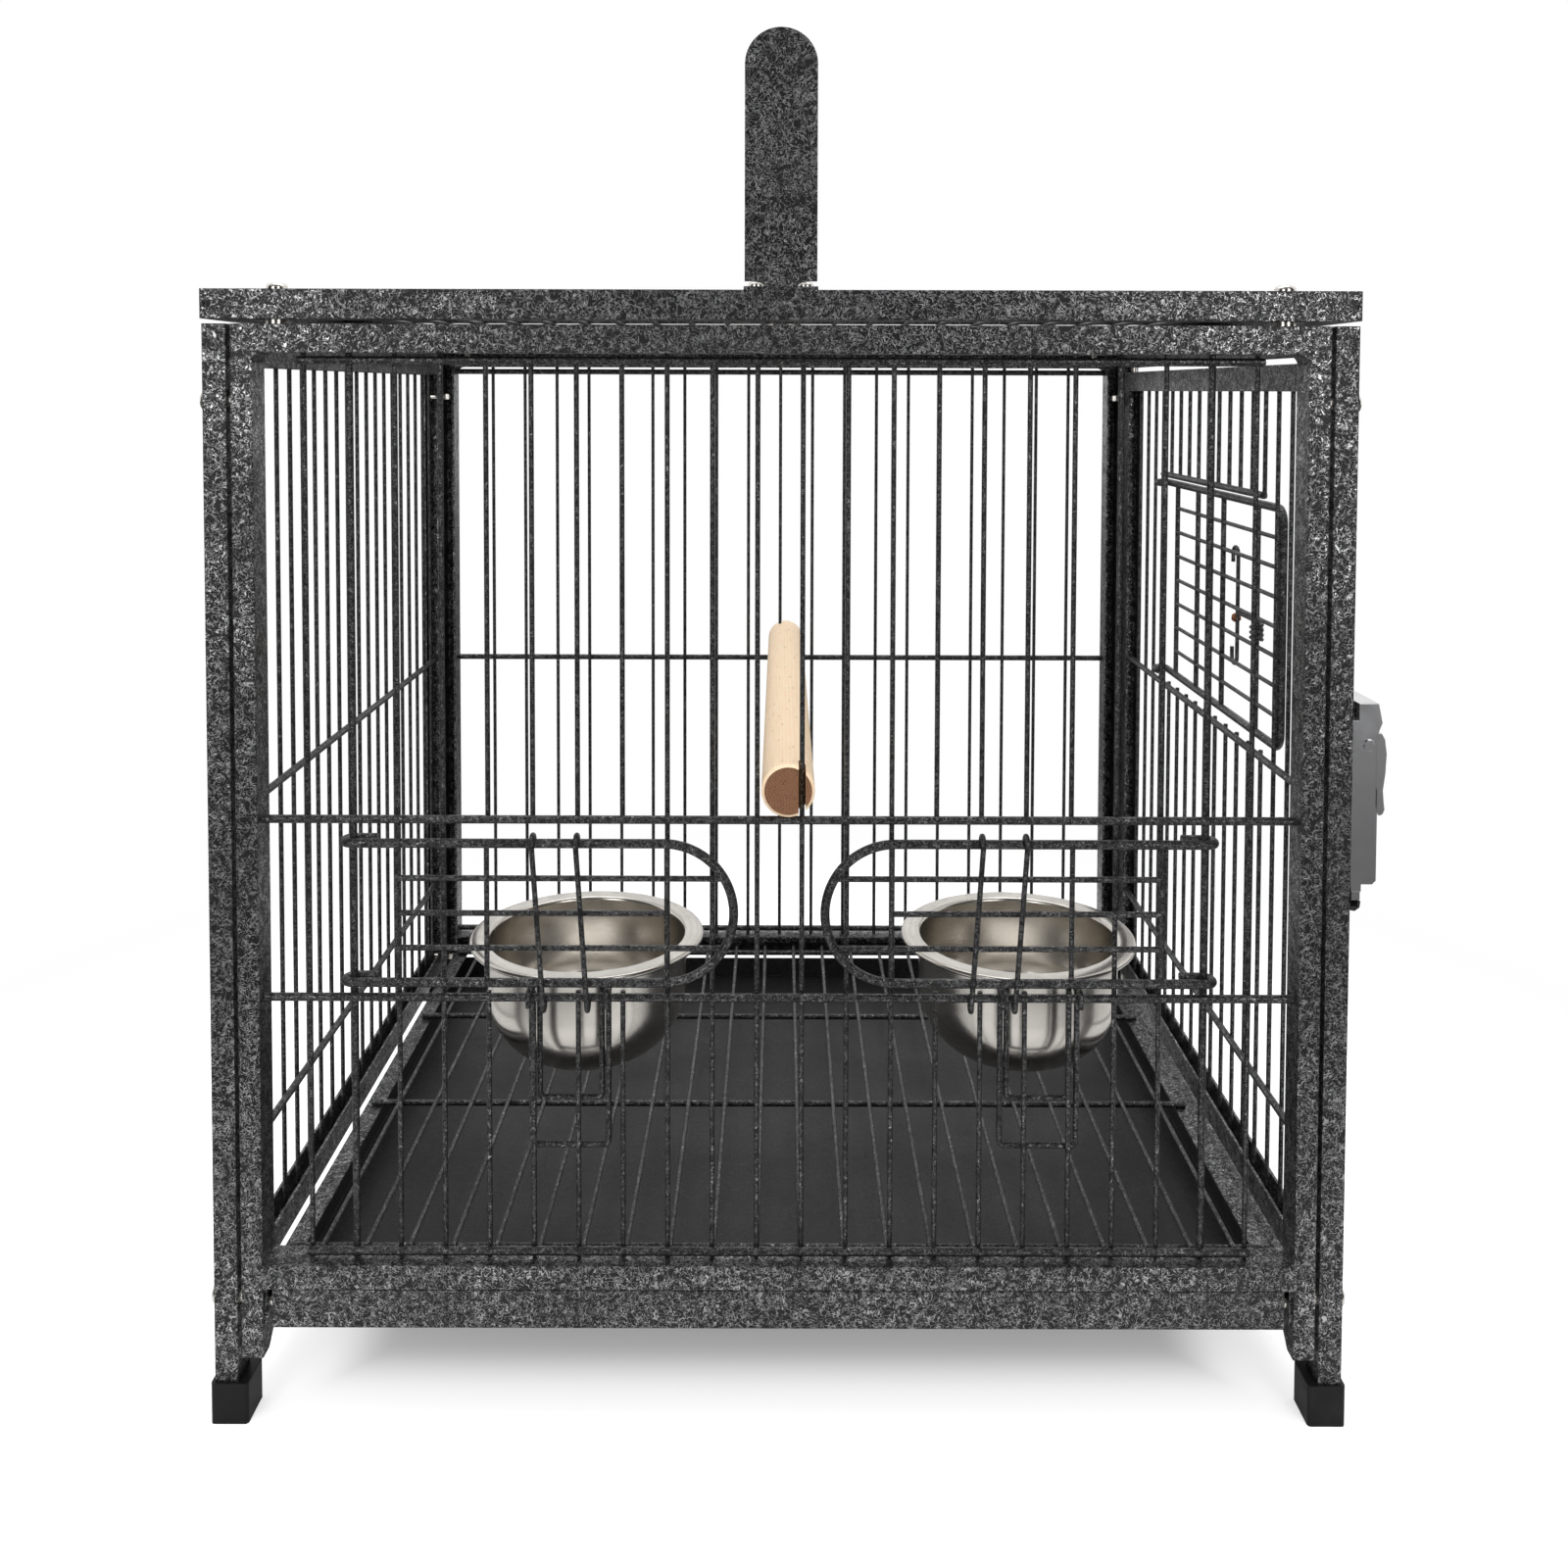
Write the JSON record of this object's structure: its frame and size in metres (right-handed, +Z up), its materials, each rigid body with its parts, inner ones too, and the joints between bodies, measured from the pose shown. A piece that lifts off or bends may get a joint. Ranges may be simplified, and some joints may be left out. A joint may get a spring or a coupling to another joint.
{
  "type": "bird travel carrier",
  "caption": "Knock-down wire bird carrier with a full side door, small access door, two feeder doors, hung cups, wooden perch, sliding tray and carrying handle.",
  "frame": {"origin": "on the floor, at the middle of the four feet", "axes": "+Z up, +Y from the front panel to the back panel, +X to the right as seen from the front"},
  "size_m": [0.4831, 0.368, 0.5755],
  "materials": {
    "coat": "hammered dark grey powder coat with a silver vein",
    "black_paint": "textured semi-gloss black paint",
    "nickel": "nickel plated steel",
    "chrome": "bright chrome plate",
    "stainless": "polished stainless steel with a soft brushed band",
    "plastic": "black moulded plastic",
    "grip": "soft black foam rubber",
    "wood": "plain sanded hardwood dowel"
  },
  "bodies": {
    "cage": {"front_posts": "coat", "front_rails": "coat", "front_mesh_top": "coat", "front_mesh_bottom": "coat", "front_mesh_left": "coat", "front_mesh_middle": "coat", "front_mesh_right": "coat", "back_posts": "coat", "back_rails": "coat", "back_mesh": "coat", "left_posts": "coat", "left_rails": "coat", "left_mesh": "coat", "right_posts": "coat", "right_rails": "coat", "roof_long_rails": "coat", "roof_end_rails": "coat", "roof_mesh": "coat", "foot_caps": "plastic", "roof_screws": "nickel", "side_screws": "nickel", "panel_spacers": "nickel", "panel_nuts": "nickel", "handle_front_plate": "coat", "handle_back_plate": "coat", "handle_tube": "coat", "handle_grip": "grip", "handle_screws": "nickel", "tray_runners": "coat", "runner_screws": "nickel", "floor_grille": "coat", "left_cup_hanger": "coat", "right_cup_hanger": "coat", "latch_keeper": "black_paint"},
    "tray": {"tray": "black_paint"},
    "perch": {"perch": "wood"},
    "left_cup": {"left_cup": "stainless"},
    "right_cup": {"right_cup": "stainless"},
    "left_feeder_door": {"left_feeder_door": "coat"},
    "right_feeder_door": {"right_feeder_door": "coat"},
    "left_outer_hook": {"left_outer_hook": "coat"},
    "left_inner_hook": {"left_inner_hook": "coat"},
    "right_outer_hook": {"right_outer_hook": "coat"},
    "right_inner_hook": {"right_inner_hook": "coat"},
    "side_door": {"door_stiles": "coat", "door_rails": "coat", "door_mesh_top": "coat", "door_mesh_bottom": "coat", "door_mesh_front": "coat", "door_mesh_back": "coat", "door_hinge_pins": "nickel", "latch_base": "chrome", "latch_rivets": "chrome", "latch_pin": "chrome"},
    "access_door": {"access_door": "coat"},
    "access_latch": {"access_latch": "coat", "access_coil": "coat"},
    "latch_lever": {"latch_lever": "chrome"},
    "latch_tongue": {"latch_tongue": "chrome"}
  },
  "joints": [
    {"name": "tray_slide", "type": "slide", "parent": "cage", "child": "tray", "axis": [0, -1, 0], "range_m": [0, 0.3]},
    {"name": "perch_lift", "type": "slide", "parent": "cage", "child": "perch", "axis": [0, 0, 1], "range_m": [0, 0.15]},
    {"name": "left_cup_lift", "type": "slide", "parent": "cage", "child": "left_cup", "axis": [0, 0, 1], "range_m": [0, 0.06]},
    {"name": "right_cup_lift", "type": "slide", "parent": "cage", "child": "right_cup", "axis": [0, 0, 1], "range_m": [0, 0.06]},
    {"name": "left_feeder_hinge", "type": "hinge", "parent": "cage", "child": "left_feeder_door", "pos_m": [-0.17575, -0.1745, 0.211], "axis": [0, 0, -1], "range_deg": [0, 150]},
    {"name": "right_feeder_hinge", "type": "hinge", "parent": "cage", "child": "right_feeder_door", "pos_m": [0.17575, -0.1745, 0.211], "axis": [0, 0, 1], "range_deg": [0, 150]},
    {"name": "left_outer_hook_hinge", "type": "hinge", "parent": "left_feeder_door", "child": "left_outer_hook", "pos_m": [-0.10125, -0.178, 0.2408], "axis": [-1, 0, 0], "range_deg": [0, 75]},
    {"name": "left_inner_hook_hinge", "type": "hinge", "parent": "left_feeder_door", "child": "left_inner_hook", "pos_m": [-0.08325, -0.178, 0.2408], "axis": [-1, 0, 0], "range_deg": [0, 75]},
    {"name": "right_outer_hook_hinge", "type": "hinge", "parent": "right_feeder_door", "child": "right_outer_hook", "pos_m": [0.10125, -0.178, 0.2408], "axis": [-1, 0, 0], "range_deg": [0, 75]},
    {"name": "right_inner_hook_hinge", "type": "hinge", "parent": "right_feeder_door", "child": "right_inner_hook", "pos_m": [0.08325, -0.178, 0.2408], "axis": [-1, 0, 0], "range_deg": [0, 75]},
    {"name": "side_door_hinge", "type": "hinge", "parent": "cage", "child": "side_door", "pos_m": [0.22775, 0.162, 0.235], "axis": [0, 0, 1], "range_deg": [0, 110]},
    {"name": "access_door_hinge", "type": "hinge", "parent": "side_door", "child": "access_door", "pos_m": [0.22775, 0.08779, 0.317], "axis": [0, 0, 1], "range_deg": [0, 150]},
    {"name": "access_latch_hinge", "type": "hinge", "parent": "access_door", "child": "access_latch", "pos_m": [0.23115, -0.06921, 0.304], "axis": [0, 0, -1], "range_deg": [0, 90]},
    {"name": "latch_lever_hinge", "type": "hinge", "parent": "side_door", "child": "latch_lever", "pos_m": [0.2402, -0.1675, 0.283], "axis": [0, -1, 0], "range_deg": [0, 90]},
    {"name": "latch_tongue_slide", "type": "slide", "parent": "side_door", "child": "latch_tongue", "axis": [0, 0, 1], "range_m": [0, 0.006]}
  ],
  "couplings": [
    {"joint": "latch_lever_hinge", "follows": "latch_tongue_slide", "rad_per_m": 261.75}
  ]
}
